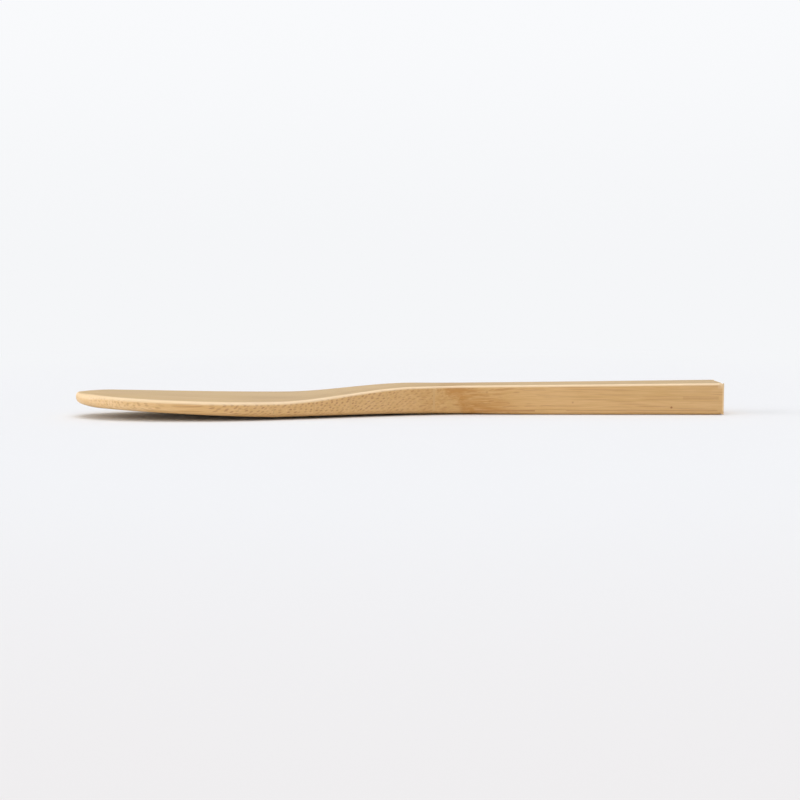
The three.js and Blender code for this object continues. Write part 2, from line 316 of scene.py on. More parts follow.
def top_height(shape, place):
    """Upper face at its edges: a power curve from the thinned tip to the valley, then an S-shaped shoulder
    and a straight handle."""
    towards_tip = np.clip(1 - place / shape.valley, 0, 1)
    rise = (shape.tip_height - shape.valley_height) * towards_tip**shape.top_curl_power
    curl = shape.valley_height + rise - shape.nose_top_thinning * nose_share(shape, place)
    handle = mix(shape.neck_height, shape.end_height, along_handle(shape, place))
    shoulder = mix(shape.valley_height, handle, smoothstep(place, shape.valley, shape.shoulder))
    return np.where(place < shape.valley, curl, shoulder)


def under_height(shape, place):
    """Underside along its middle: flat on the table, then a power curve up to the thinned tip."""
    towards_tip = np.clip(1 - place / shape.underside_rise, 0, 1)
    rise = shape.tip_lift * towards_tip**shape.underside_curl_power
    return rise + shape.nose_under_thinning * nose_share(shape, place)


def crown_share(shape, place):
    """1 where the blade's faces have their whole crown, and 0 along the handle."""
    return 1 - smoothstep(place, shape.crown_fade_start, shape.crown_fade_end)


def from_middle_squared(shape, place, across):
    """Square of the distance from the middle between both sides, which is 1 at either side."""
    near, far = near_edge(shape, place), far_edge(shape, place)
    from_middle = (2 * across - near - far) / np.maximum(far - near, LEAST_WIDTH)
    return np.minimum(from_middle**2, 1)


def top_at(shape, place, across):
    """Upper face: its height at the edges plus a crown that falls off with the square of the distance
    across."""
    crown = shape.top_crown * crown_share(shape, place)
    return top_height(shape, place) + crown * (1 - from_middle_squared(shape, place, across))


def under_at(shape, place, across):
    """Underside: its height along the middle plus a lift that grows with the square of the distance
    across."""
    lift = shape.underside_crown * crown_share(shape, place)
    return under_height(shape, place) + lift * from_middle_squared(shape, place, across)


def edge_radius(shape, place, blade_radius, handle_radius):
    """Edge rounding: the nose's radius turns into the blade's, and along the shoulder into the handle's,
    within its share of the wall."""
    at_nose = 1 - smoothstep(place, 0, shape.nose_rounding)
    on_handle = smoothstep(place, shape.valley, shape.shoulder)
    radius = mix(mix(blade_radius, shape.nose_radius, at_nose), handle_radius, on_handle)
    lift = under_height(shape, place) + shape.underside_crown * crown_share(shape, place)
    wall = top_height(shape, place) - lift
    return np.minimum(radius, shape.rounded_share * wall)


def rounding(height, depth, distance):
    """How far a rounded edge of a height and depth falls away inside the outline:
    h - h sqrt(1 - (1 - d/depth)^2)."""
    beyond = 1 - np.clip(distance / depth, 0, 1)
    return height * (1 - np.sqrt(np.maximum(1 - beyond**2, 0)))


def edge_share(depth, distance):
    """1 in the middle of a rounded edge and 0 where it meets the faces: the sine of twice its turn."""
    turn = np.arccos(np.clip(1 - distance / depth, 0, 1))
    return np.where(distance < depth, np.sin(2 * turn), 0)


def corner_radius(shape):
    """Rounding of the outline's corners at the end of the handle."""
    deepest_edge = max(shape.handle_top_radius, shape.handle_bottom_radius * shape.lower_edge_spread)
    return deepest_edge + shape.corner_ease


def outline_points(shape):
    """The closed outline from above as closely spaced points: the near side from tip to end, then the far
    side back."""
    nose = shape.near_widest * (1 - np.cos(np.linspace(0, math.pi / 2, OUTLINE_NOSE_POINTS)))
    corner = corner_radius(shape)
    neck = max(shape.near_neck, shape.far_neck)
    flank = np.arange(shape.near_widest, neck, OUTLINE_FLANK_STEP)[1:]
    handle = np.arange(neck, shape.length - corner, OUTLINE_HANDLE_STEP)
    place = np.concatenate((nose, flank, handle))
    turn = np.linspace(0, math.pi / 2, OUTLINE_CORNER_POINTS)
    corner_place = shape.length - corner * (1 - np.sin(turn))
    corner_reach = shape.end_width / 2 - corner * (1 - np.cos(turn))
    near = np.column_stack((place, near_edge(shape, place)))
    far = np.column_stack((place, far_edge(shape, place)))
    near_corner = np.column_stack((corner_place, -corner_reach))
    far_corner = np.column_stack((corner_place, corner_reach))
    end_across = np.linspace(near_corner[-1, 1], far_corner[-1, 1], OUTLINE_END_POINTS)
    end = np.column_stack((np.full(OUTLINE_END_POINTS, shape.length), end_across))
    return np.concatenate((near, near_corner, end[1:-1], far_corner[::-1], far[:0:-1]))


def distance_to_segment(points, starts, ends):
    """Distance from each point to its own straight segment."""
    along = ends - starts
    squares = np.maximum(np.sum(along**2, axis=1), LEAST_SQUARE)
    share = np.sum((points - starts) * along, axis=1) / squares
    foot = starts + np.clip(share, 0, 1)[:, None] * along
    return np.linalg.norm(points - foot, axis=1)


def outline_distance(shape, place, across):
    """Distance inside the outline of each place, taken to the two segments at its nearest outline point.
    Points too deep inside for any rounded edge are left at the depth limit."""
    limit = DEPTH_MARGIN * shape.nose_radius * shape.lower_edge_spread
    gap = np.minimum(across - near_edge(shape, place), far_edge(shape, place) - across)
    close = (gap < limit) | (place < 2 * limit) | (place > shape.length - limit)
    outline = outline_points(shape)
    points = np.column_stack((place[close], across[close]))
    found = np.empty(len(points))
    for start in range(0, len(points), POINTS_AT_ONCE):
        part = points[start : start + POINTS_AT_ONCE]
        squares = (part[:, :1] - outline[:, 0]) ** 2 + (part[:, 1:] - outline[:, 1]) ** 2
        nearest = np.argmin(squares, axis=1)
        here = outline[nearest]
        before = outline[nearest - 1]
        after = outline[(nearest + 1) % len(outline)]
        found[start : start + POINTS_AT_ONCE] = np.minimum(
            distance_to_segment(part, before, here), distance_to_segment(part, here, after)
        )
    distance = np.full(place.shape, limit)
    distance[close] = found
    return distance


def slab_width(shape, place, near_plane, far_plane):
    """Where a slab between two upright planes starts and ends across the spatula."""
    return np.maximum(near_edge(shape, place), near_plane), np.minimum(far_edge(shape, place), far_plane)


def slab_span(shape, near_plane, far_plane):
    """First and last place along the spatula where a slab has any width, sharpened by halving the gap."""
    fine = shape.length * (1 - np.cos(np.linspace(0, math.pi / 2, SPAN_PLACES)))
    low, high = slab_width(shape, fine, near_plane, far_plane)
    inside = np.flatnonzero(high > low)
    first, last = inside[0], inside[-1]
    ends = []
    for out, within in ((max(first - 1, 0), first), (min(last + 1, len(fine) - 1), last)):
        outer, inner = fine[out], fine[within]
        for _ in range(SPAN_HALVINGS):
            middle = (outer + inner) / 2
            low, high = slab_width(shape, np.array(middle), near_plane, far_plane)
            outer, inner = (outer, middle) if high > low else (middle, inner)
        ends.append(inner)
    return ends


def slab_stations(division, start, end):
    """Places of the sections of a slab: start + a(1 - cos t) at the nose, even steps, and the like at the
    tail."""
    nose = min(division.nose_stretch, FINE_SHARE * (end - start))
    tail = min(division.tail_stretch, FINE_SHARE * (end - start))
    nose_turn = np.linspace(0, math.pi / 2, division.nose_steps)
    tail_turn = np.linspace(math.pi / 2, 0, division.tail_steps)
    steps = max(FEWEST_STEPS, round((end - start - nose - tail) / division.spacing))
    first = start + nose * (1 - np.cos(nose_turn))
    middle = np.linspace(start + nose, end - tail, steps)[1:-1]
    last = end - tail * (1 - np.cos(tail_turn))
    return np.concatenate((first, middle, last))


def slab_sections(shape, division, near_plane, far_plane, columns):
    """Closed sections of the rounded spatula between two upright planes, one at each station, as an array of
    (station, point, xyz). A section runs along the underside, up the far wall, back along the upper face and
    down the near wall. Heights are the upper face less, or the underside plus, the rounding at that depth
    inside the outline."""
    start, end = slab_span(shape, near_plane, far_plane)
    place = slab_stations(division, start, end)[:, None]
    low, high = slab_width(shape, place, near_plane, far_plane)
    share = (1 - np.cos(np.linspace(0, math.pi, columns)))[None, :] / 2
    across = mix(low, np.maximum(high, low), share)
    place_grid = np.broadcast_to(place, across.shape)
    depth = outline_distance(shape, place_grid, across)
    top_radius = edge_radius(shape, place, shape.blade_top_radius, shape.handle_top_radius)
    bottom_radius = edge_radius(shape, place, shape.blade_bottom_radius, shape.handle_bottom_radius)
    bottom_depth = bottom_radius * shape.lower_edge_spread
    upper = top_at(shape, place, across) - rounding(top_radius, top_radius, depth)
    under = under_at(shape, place, across) + rounding(bottom_radius, bottom_depth, depth)
    # Upper edges: wear and a painted highlight, strongest in the middle of the rounding.
    upper_wear_and_highlight = edge_share(top_radius, depth)
    upper_face = smoothstep(depth, FACE_START * top_radius, top_radius)
    under_face = smoothstep(depth, FACE_START * bottom_depth, bottom_depth)
    rise = np.linspace(0, 1, division.wall_rows + 2)[None, 1:-1]
    far_wall = mix(under[:, -1:], upper[:, -1:], rise)
    near_wall = mix(upper[:, :1], under[:, :1], rise)
    wall_across = np.ones_like(far_wall)
    y = np.hstack((across, across[:, -1:] * wall_across, across[:, ::-1], across[:, :1] * wall_across))
    z = np.hstack((under, far_wall, upper[:, ::-1], near_wall))
    x = np.broadcast_to(place - shape.length / 2, y.shape)
    wall = np.zeros_like(far_wall)
    # The end's corners get a painted highlight in the middle of their rounding.
    wear_and_highlight_depth = CORNER_HIGHLIGHT_SHARE * corner_radius(shape)
    corner = CORNER_HIGHLIGHT * edge_share(wear_and_highlight_depth, shape.length - place) * wall_across
    finish = {
        WEAR_AND_HIGHLIGHT_EDGE: np.hstack((np.zeros_like(under), corner, upper_wear_and_highlight[:, ::-1], corner)),
        BROAD_FACE: np.hstack((under_face, wall, upper_face[:, ::-1], wall)),
    }
    return np.stack((x, y + HANDLE_AXIS, z), axis=2), finish


def mesh_from_sections(name, sections, finish, closed_end):
    """A closed mesh over sections: quads from each section to the next. Where a section shrinks to an upright
    line its doubles merge, and a section that ends flat gets one flat cap. Values for the finish are kept as
    attributes."""
    stations, count = sections.shape[:2]
    start = (np.arange(stations - 1) * count)[:, None]
    here = np.arange(count)[None, :]
    after = (here + 1) % count
    quads = np.stack((start + here, start + after, start + count + after, start + count + here), axis=2)
    faces = quads.reshape(-1, 4).tolist()
    if closed_end:
        faces.append(list(range((stations - 1) * count, stations * count)))
    mesh = bpy.data.meshes.new(name)
    mesh.from_pydata(sections.reshape(-1, 3), [], faces)
    for label, values in finish.items():
        mesh.attributes.new(label, "FLOAT", "POINT").data.foreach_set("value", values.ravel())
    work = bmesh.new()
    work.from_mesh(mesh)
    bmesh.ops.remove_doubles(work, verts=work.verts, dist=MERGE_DISTANCE)
    bmesh.ops.dissolve_degenerate(work, edges=work.edges, dist=SHORTEST_EDGE)
    work.to_mesh(mesh)
    work.free()
    mesh.shade_smooth()
    mesh.set_sharp_from_angle(angle=SHARP_ANGLE)
    return mesh


def add_slab(node, suffix, columns, material):
    """Builds the fine surface of one CAD node between that node's two planes, and lets it stand for the
    node. A node at the part's side has no plane there, so its slab reaches past the outline."""
    shape, division = settings().shape, settings().division
    low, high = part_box(node)
    margin = shape.length
    near_plane = low.y - HANDLE_AXIS - (margin if low.y <= CAD_BOX[0].y + BOX_TOUCH else 0)
    far_plane = high.y - HANDLE_AXIS + (margin if high.y >= CAD_BOX[1].y - BOX_TOUCH else 0)
    sections, finish = slab_sections(shape, division, near_plane, far_plane, columns)
    reaches_end = high.x >= CAD_BOX[1].x - BOX_TOUCH
    mesh = mesh_from_sections(node + suffix, sections, finish, reaches_end)
    piece = bpy.data.objects.new(node + suffix, mesh)
    bpy.context.scene.collection.objects.link(piece)
    piece.data.materials.append(material)
    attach(piece, "root")
    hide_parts(node)
    return piece


# Materials. Inside node groups, places are millimetres, and those along the spatula start at its middle.

# Stretches along the spatula over which a look changes, each from its first place to its second.
# Stretch over which the nose's sides turn pale, partly end grain and partly painted light.
NOSE_PALE_AND_LIT = (-90.0, -132.0)
# Stretch over which the edges' wear and painted highlight grow from the nose.
NOSE_WEAR_AND_HIGHLIGHT = (-150.0, -125.0)
DOTS_BEGIN = (-145.0, -139.0)
NOSE_DOTS_GROW = (-105.0, -70.0)
BLADE_DOTS_FADE = (-25.0, 12.0)
BLADE_DIMS = (-90.0, -45.0)
HANDLE_DIMS = (40.0, 150.0)

# Strength of the fibre bundles, and brightness of the strips, at both ends of such a stretch.
NOSE_DOTS = (0.55, 1.0)
BLADE_DOTS = (0.72, 0.45)
HANDLE_DOTS = 0.28
JOINT_DOTS = 0.42
BLADE_TONES = (1.04, 0.98)
HANDLE_TONES = (1.0, 0.94)
# Strength of the edges' wear and painted highlight at both ends of that stretch.
NOSE_WEAR_AND_HIGHLIGHT_LEVELS = (0.45, 1.0)

# What differs from strip to strip: its run of fibres, the shift of the stem's joint, and its tone.
SEED_STEP = 3.17
JOINT_SHIFT = 1.3
JOINT_SHIFT_STEP = 2.4
TONE_SPREAD = 0.015
TONE_STEP = 5.1
GLUE_SEED = 41.0

# The stem's joint: its ragged and slanting start, and where its effects begin and end beside that start.
JOINT_RAGGEDNESS = 7.0
JOINT_SLANT = 0.9
JOINT_FOOT = -8.0
JOINT_RISE = (-3.5, 3.0)
JOINT_CORE_END = 1.5
JOINT_CORE_FULL = 0.4
JOINT_TAIL_FULL = 0.1
MOTTLE_START = (-36.0, -14.0)
MOTTLE_END = (12.0, 0.0)
UPSET_START = (-26.0, -6.0)
UPSET_END = (60.0, 8.0)

# Fibre bundles: slant and disorder of their lattice, their shape, and how they crowd at the stem's skin.
LATTICE_SLANT = -0.4
LATTICE_DISORDER = 0.55
LATTICE_SEED_SPREAD = (13.7, 7.3, 0.0)
BUNDLE_NARROWING = (1.4, 0.9, 0.0)
BUNDLE_EDGE = (0.42, 0.18)
WEAKEST_BUNDLE = 0.5
SKIN_MARGIN = 2 * MM
HANDLE_SKIN_SHARE = 0.6
BLADE_SKIN_SHARE = 0.1

# Shares of the bamboo's colours, and how far streaks, patches and upset fibres change its brightness.
# Share of the pale nose colour: partly end grain, partly painted light.
PALE_AND_LIT_SHARE = 0.42
JOINT_SHARE = 0.85
JOINT_LOSS_ON_FACES = -0.5
THIN_FIBRES = 0.62
BROAD_FIBRES = 0.38
STREAK_GAIN = 0.40
PATCH_GAIN = 0.10
UPSET_GAIN = -0.06
RED_POWER = 0.7
BLUE_POWER = 2.3
GLUE_STAIN = 0.75
# The glue at the nose takes the same end grain paleness and painted light.
GLUE_PALE_AND_LIT_SHARE = 0.75

# The sanded and oiled surface.
SURFACE_IOR = 1.65
PLAIN_ROUGHNESS = 0.55
STREAK_ROUGHNESS = 0.10
BUNDLE_ROUGHNESS = -0.05
WORN_ROUGHNESS = -0.22
STREAK_HEIGHT = 0.5
BUNDLE_HEIGHT = 0.35
BUMP_STRENGTH = 0.35
BUMP_DISTANCE = 0.04 * MM
# Share of the pale edge colour, from wear and a painted highlight.
WEAR_AND_HIGHLIGHT_SHARE = 0.82

# Marks on the handle's near side: start, length, height, radius in millimetres, and strength.
MARKED_NODE = "handle_strip_1"
MARK_EDGE = (1.3, 0.4)
HANDLE_MARKS = (
    (125.7, 0.0, 3.5, 0.60, 0.95),
    (79.8, 0.0, 5.8, 0.50, 0.45),
    (131.0, 16.5, 8.35, 0.15, 0.65),
    (131.0, 16.5, 7.50, 0.15, 0.65),
    (77.0, 70.0, 2.05, 0.20, 0.45),
    (32.0, 30.0, 1.90, 0.35, 0.70),
)

FLOAT = "NodeSocketFloat"
VECTOR = "NodeSocketVector"
COLOUR = "NodeSocketColor"


class Graph:
    """Adds nodes to one shader tree. Inputs are plain values or other nodes' outputs."""

    def __init__(self, tree):
        self.tree = tree

    def add(self, kind, inputs, **node_settings):
        node = self.tree.nodes.new(kind)
        for key, value in node_settings.items():
            setattr(node, key, value)
        for key, value in inputs.items():
            if isinstance(value, bpy.types.NodeSocket):
                self.tree.links.new(value, node.inputs[key])
            else:
                node.inputs[key].default_value = value
        return node

    def use(self, group, inputs):
        return self.add("ShaderNodeGroup", inputs, node_tree=group).outputs

    def attribute(self, name):
        return self.add("ShaderNodeAttribute", {}, attribute_name=name).outputs["Fac"]

    def math(self, operation, first, second=0.0, third=0.0):
        return self.add("ShaderNodeMath", {0: first, 1: second, 2: third}, operation=operation).outputs[0]

    def times(self, first, second):
        return self.math("MULTIPLY", first, second)

    def scale(self, vector, factors):
        return self.add("ShaderNodeVectorMath", {0: vector, 1: factors}, operation="MULTIPLY").outputs[0]

    def shift(self, vector, other):
        return self.add("ShaderNodeVectorMath", {0: vector, 1: other}, operation="ADD").outputs[0]

    def length(self, vector):
        return self.add("ShaderNodeVectorMath", {0: vector}, operation="LENGTH").outputs["Value"]

    def parts(self, vector):
        return self.add("ShaderNodeSeparateXYZ", {0: vector}).outputs

    def vector(self, x=0.0, y=0.0, z=0.0):
        return self.add("ShaderNodeCombineXYZ", {0: x, 1: y, 2: z}).outputs[0]

    def even(self, value):
        return self.vector(value, value, value)

    def noise(self, place, frequency, seed=(0.0, 0.0, 0.0), detail=2.0, roughness=0.5):
        """Soft noise with so many features a millimetre along X, Y and Z."""
        vector = self.shift(self.scale(place, frequency), seed)
        inputs = {"Vector": vector, "Scale": 1.0, "Detail": detail, "Roughness": roughness}
        return self.add("ShaderNodeTexNoise", inputs).outputs

    def sway(self, place, frequency, seed, reach, detail):
        """A wander across the fibres, up to half the reach either way."""
        centred = self.shift(self.noise(place, frequency, seed, detail)[1], (-0.5, -0.5, -0.5))
        return self.scale(centred, (0.0, reach, reach))

    def about_zero(self, value):
        """A value of 0 to 1 spread to -1 to 1."""
        return self.math("MULTIPLY_ADD", value, 2.0, -1.0)

    def ease(self, value, low, high, to_low=0.0, to_high=1.0):
        """An S-curve from to_low, where the value is low, to to_high, where it is high."""
        inputs = {"Value": value, "From Min": low, "From Max": high, "To Min": to_low, "To Max": to_high}
        return self.add("ShaderNodeMapRange", inputs, interpolation_type="SMOOTHSTEP").outputs[0]

    def mix(self, share, first, second, blend="MIX"):
        node = self.add("ShaderNodeMix", {0: share, 6: first, 7: second}, data_type="RGBA", blend_type=blend)
        return node.outputs[2]


def opaque(rgb):
    """A colour with full cover, as shader sockets take it."""
    return (*rgb, 1.0)


def new_group(name, inputs, outputs):
    """An empty shader node group with named sockets, its graph, its inputs and a call that sets an output."""
    tree = bpy.data.node_groups.new(name, "ShaderNodeTree")
    for label, kind in inputs:
        tree.interface.new_socket(label, in_out="INPUT", socket_type=kind)
    for label, kind in outputs:
        tree.interface.new_socket(label, in_out="OUTPUT", socket_type=kind)
    source = tree.nodes.new("NodeGroupInput").outputs
    result = tree.nodes.new("NodeGroupOutput").inputs

    def give(label, socket):
        tree.links.new(socket, result[label])

    return tree, Graph(tree), source, give


def stem_node_group():
    """The joint of the bamboo stem. It starts abruptly along a ragged, slanting line, is darkest in blotches
    just after it and dies away in streaks towards the end of the handle. The bamboo before it is mottled,
    and fibres are upset from a little before it to beyond."""
    tree, graph, source, give = new_group(
        "Stem Node",
        [("Place", VECTOR), ("Node Place", FLOAT), ("Length", FLOAT), ("Tail", FLOAT), ("Seed", FLOAT)],
        [("Band", FLOAT), ("Upset", FLOAT)],
    )
    place = source["Place"]
    seed = graph.even(source["Seed"])
    offset = graph.math("SUBTRACT", graph.parts(place)["X"], source["Node Place"])
    ragged = graph.about_zero(graph.noise(place, (0.12, 0.30, 0.30), seed, detail=3.0, roughness=0.6)[0])
    ragged_offset = graph.math("MULTIPLY_ADD", ragged, JOINT_RAGGEDNESS, offset)
    slant = graph.math("MULTIPLY_ADD", graph.parts(place)["Z"], JOINT_SLANT, JOINT_FOOT)
    from_start = graph.math("ADD", ragged_offset, slant)
    rise = graph.ease(from_start, *JOINT_RISE)
    core_end = graph.times(source["Length"], JOINT_CORE_END)
    core = graph.ease(from_start, core_end, graph.times(source["Length"], JOINT_CORE_FULL))
    tail = graph.ease(from_start, source["Tail"], graph.times(source["Tail"], JOINT_TAIL_FULL))
    streak_noise = graph.noise(place, (0.05, 0.9, 0.9), seed, detail=3.0, roughness=0.6)[0]
    streaks = graph.ease(streak_noise, 0.35, 0.62)
    blotch_noise = graph.noise(place, (0.22, 0.35, 0.35), seed, detail=3.0, roughness=0.65)[0]
    blotches = graph.ease(blotch_noise, 0.36, 0.60, to_low=0.45)
    both = graph.math("MAXIMUM", graph.times(core, blotches), graph.times(tail, streaks))
    mottle_noise = graph.noise(place, (0.35, 0.5, 0.5), seed)[0]
    mottle = graph.ease(mottle_noise, 0.35, 0.65, to_low=0.10, to_high=0.34)
    before_joint = graph.times(graph.ease(offset, *MOTTLE_START), graph.ease(offset, *MOTTLE_END))
    give("Band", graph.math("MAXIMUM", graph.times(rise, both), graph.times(mottle, before_joint)))
    give("Upset", graph.times(graph.ease(offset, *UPSET_START), graph.ease(offset, *UPSET_END)))
    return tree


def fibre_bundle_group():
    """Fibre bundles that run along the spatula: cells of a flat Voronoi pattern in Y and Z, on a slanting
    lattice, carried along X with a slow wander. A slanting cut shows them as dots and a cut along them as
    streaks."""
    tree, graph, source, give = new_group(
        "Fibre Bundles",
        [("Place", VECTOR), ("Spacing", FLOAT), ("Layer Spacing", FLOAT), ("Upset", FLOAT), ("Seed", FLOAT)],
        [("Bundles", FLOAT)],
    )
    place = source["Place"]
    seed = graph.even(source["Seed"])
    slow = graph.sway(place, (0.012, 0.10, 0.10), seed, reach=2.0, detail=1.0)
    upset = graph.sway(place, (0.11, 0.30, 0.30), seed, reach=3.2, detail=2.0)
    moved = graph.shift(graph.shift(place, slow), graph.scale(upset, graph.even(source["Upset"])))
    layer = graph.math("DIVIDE", graph.parts(moved)["Z"], source["Layer Spacing"])
    radial = graph.math("DIVIDE", graph.parts(moved)["Y"], source["Spacing"])
    slanted = graph.math("MULTIPLY_ADD", layer, LATTICE_SLANT, radial)
    cell_place = graph.shift(graph.vector(slanted, layer), graph.scale(seed, LATTICE_SEED_SPREAD))
    cells = graph.add(
        "ShaderNodeTexVoronoi",
        {"Vector": cell_place, "Scale": 1.0, "Randomness": LATTICE_DISORDER},
        voronoi_dimensions="2D",
        feature="F1",
    ).outputs
    centre = graph.scale(cells["Position"], (-1.0, -1.0, 0.0))
    distance = graph.length(graph.scale(graph.shift(cell_place, centre), BUNDLE_NARROWING))
    strength = graph.ease(graph.parts(cells["Color"])["X"], 0.0, 1.0, to_low=WEAKEST_BUNDLE)
    give("Bundles", graph.times(graph.ease(distance, *BUNDLE_EDGE), strength))
    return tree


def fine_fibre_group():
    """Fine fibre streaks along the spatula, with slow patches of lighter and darker bamboo, both about
    zero."""
    tree, graph, source, give = new_group(
        "Fine Fibres",
        [("Place", VECTOR), ("Upset", FLOAT), ("Seed", FLOAT)],
        [("Streaks", FLOAT), ("Patches", FLOAT)],
    )
    place = source["Place"]
    seed = graph.even(source["Seed"])
    sway = graph.sway(place, (0.06, 0.22, 0.22), seed, reach=2.6, detail=1.0)
    moved = graph.shift(place, graph.scale(sway, graph.even(source["Upset"])))
    thin = graph.noise(moved, (0.10, 4.0, 4.0), seed, roughness=0.6)[0]
    broad = graph.noise(moved, (0.018, 0.85, 0.85), seed, roughness=0.55)[0]
    both = graph.math("ADD", graph.times(thin, THIN_FIBRES), graph.times(broad, BROAD_FIBRES))
    give("Streaks", graph.about_zero(both))
    give("Patches", graph.about_zero(graph.noise(place, (0.018, 0.06, 0.10), seed)[0]))
    return tree


def bamboo_colour_group():
    """Bamboo's colour: soft ground tissue, darker bundles and the stem's joint, brightened and dimmed a
    little by the streaks and patches. Where it is darker it is warmer too."""
    colours = ("Ground", "Bundle", "Stem Node", "Pale")
    levels = ("Nose", "Bundles", "Band", "Streaks", "Patches", "Upset", "Tone")
    tree, graph, source, give = new_group(
        "Bamboo Colour",
        [(label, COLOUR) for label in colours] + [(label, FLOAT) for label in levels],
        [("Colour", COLOUR)],
    )
    # Pale nose: partly end grain, partly painted light.
    ground = graph.mix(graph.times(source["Nose"], PALE_AND_LIT_SHARE), source["Ground"], source["Pale"])
    dotted = graph.mix(source["Bundles"], ground, source["Bundle"])
    base = graph.mix(graph.times(source["Band"], JOINT_SHARE), dotted, source["Stem Node"])
    upset_level = graph.math("MULTIPLY_ADD", source["Upset"], UPSET_GAIN, 1.0)
    streak_level = graph.math("MULTIPLY_ADD", source["Streaks"], STREAK_GAIN, upset_level)
    level = graph.math("MULTIPLY_ADD", source["Patches"], PATCH_GAIN, streak_level)
    red_level = graph.math("POWER", level, RED_POWER)
    warm_level = graph.vector(red_level, level, graph.math("POWER", level, BLUE_POWER))
    streaked = graph.mix(1.0, base, warm_level, "MULTIPLY")
    give("Colour", graph.mix(1.0, streaked, graph.even(source["Tone"]), "MULTIPLY"))
    return tree


def mark_group():
    """A small mark on an upright side: a line along the fibres with round ends, or a speck where its length
    is 0."""
    tree, graph, source, give = new_group(
        "Mark",
        [("Place", VECTOR), ("Start", FLOAT), ("Length", FLOAT), ("Height", FLOAT), ("Radius", FLOAT)],
        [("Mark", FLOAT)],
    )
    along = graph.math("SUBTRACT", graph.parts(source["Place"])["X"], source["Start"])
    on_line = graph.math("MINIMUM", graph.math("MAXIMUM", along, 0.0), source["Length"])
    up = graph.math("SUBTRACT", graph.parts(source["Place"])["Z"], source["Height"])
    distance = graph.length(graph.vector(graph.math("SUBTRACT", along, on_line), 0.0, up))
    give("Mark", graph.ease(graph.math("DIVIDE", distance, source["Radius"]), *MARK_EDGE))
    return tree


def sanded_group():
    """A fine-sanded, lightly oiled surface: its roughness, and its height with sanding scratches along the
    fibres."""
    tree, graph, source, give = new_group(
        "Sanded Surface",
        [("Place", VECTOR), ("Streaks", FLOAT), ("Bundles", FLOAT)],
        [("Roughness", FLOAT), ("Height", FLOAT)],
    )
    rough = graph.math("MULTIPLY_ADD", source["Streaks"], STREAK_ROUGHNESS, PLAIN_ROUGHNESS)
    give("Roughness", graph.math("MULTIPLY_ADD", source["Bundles"], BUNDLE_ROUGHNESS, rough))
    scratches = graph.noise(source["Place"], (0.35, 6.0, 6.0))[0]
    height = graph.math("MULTIPLY_ADD", source["Streaks"], STREAK_HEIGHT, scratches)
    give("Height", graph.math("MULTIPLY_ADD", source["Bundles"], BUNDLE_HEIGHT, height))
    return tree


def painted_shade_face_group():
    """Painted shade on the broad faces: a tint that makes them darker and cooler than the sides."""
    tree, graph, source, give = new_group(
        "Planed Face",
        [("Face", FLOAT), ("Colour", COLOUR), ("Tint", COLOUR)],
        [("Colour", COLOUR)],
    )
    give("Colour", graph.mix(source["Face"], source["Colour"], source["Tint"], "MULTIPLY"))
    return tree


def wear_and_highlight_edge_group():
    """Edges made paler and smoother by sanding wear, and paler still by a painted highlight, a little
    unevenly along their length, and less at the nose."""
    tree, graph, source, give = new_group(
        "Worn Edge",
        [
            ("Place", VECTOR),
            ("Edge", FLOAT),
            ("Colour", COLOUR),
            ("Worn Colour", COLOUR),
            ("Roughness", FLOAT),
        ],
        [("Colour", COLOUR), ("Roughness", FLOAT)],
    )
    uneven_noise = graph.noise(source["Place"], (0.08, 0.3, 0.3), detail=3.0)[0]
    uneven = graph.ease(uneven_noise, 0.3, 0.7, to_low=0.85)
    from_nose = graph.ease(graph.parts(source["Place"])["X"], *NOSE_WEAR_AND_HIGHLIGHT, *NOSE_WEAR_AND_HIGHLIGHT_LEVELS)
    wear_and_highlight = graph.times(graph.times(source["Edge"], uneven), from_nose)
    give("Colour", graph.mix(graph.times(wear_and_highlight, WEAR_AND_HIGHLIGHT_SHARE), source["Colour"], source["Worn Colour"]))
    give("Roughness", graph.math("MULTIPLY_ADD", wear_and_highlight, WORN_ROUGHNESS, source["Roughness"]))
    return tree


def shared_group(name, maker):
    """A node group by name, built the first time it is asked for."""
    return bpy.data.node_groups.get(name) or maker()


def new_material(name):
    """A material with a Principled surface, its graph, the surface node and places in millimetres."""
    material = bpy.data.materials.new(name)
    material.use_nodes = True
    graph = Graph(material.node_tree)
    surface = material.node_tree.nodes["Principled BSDF"]
    to_millimetres = (1 / MM, 1 / MM, 1 / MM)
    place = graph.scale(graph.add("ShaderNodeTexCoord", {}).outputs["Object"], to_millimetres)
    return material, graph, surface, place


def finish_surface(graph, surface, place, colour_socket, streaks, bundles):
    """Sands the surface, paints shade on its broad faces, pales its edges with wear and a painted highlight,
    and joins colour, roughness and bump to it.
    """
    look = settings().finish
    sanded = graph.use(
        shared_group("Sanded Surface", sanded_group),
        {"Place": place, "Streaks": streaks, "Bundles": bundles},
    )
    # Painted shade on the broad faces.
    painted_shade = graph.use(
        shared_group("Planed Face", painted_shade_face_group),
        {"Face": graph.attribute(BROAD_FACE), "Colour": colour_socket, "Tint": opaque(look.painted_shade)},
    )
    # Wear and painted highlight on the rounded edges.
    wear_and_highlight = graph.use(
        shared_group("Worn Edge", wear_and_highlight_edge_group),
        {
            "Place": place,
            "Edge": graph.attribute(WEAR_AND_HIGHLIGHT_EDGE),
            "Colour": painted_shade["Colour"],
            "Worn Colour": opaque(look.wear_and_highlight),
            "Roughness": sanded["Roughness"],
        },
    )
    bump = graph.add(
        "ShaderNodeBump",
        {"Strength": BUMP_STRENGTH, "Distance": BUMP_DISTANCE, "Height": sanded["Height"]},
    )
    surface.inputs["IOR"].default_value = SURFACE_IOR
    links = graph.tree.links
    links.new(wear_and_highlight["Colour"], surface.inputs["Base Color"])
    links.new(wear_and_highlight["Roughness"], surface.inputs["Roughness"])
    links.new(bump.outputs[0], surface.inputs["Normal"])


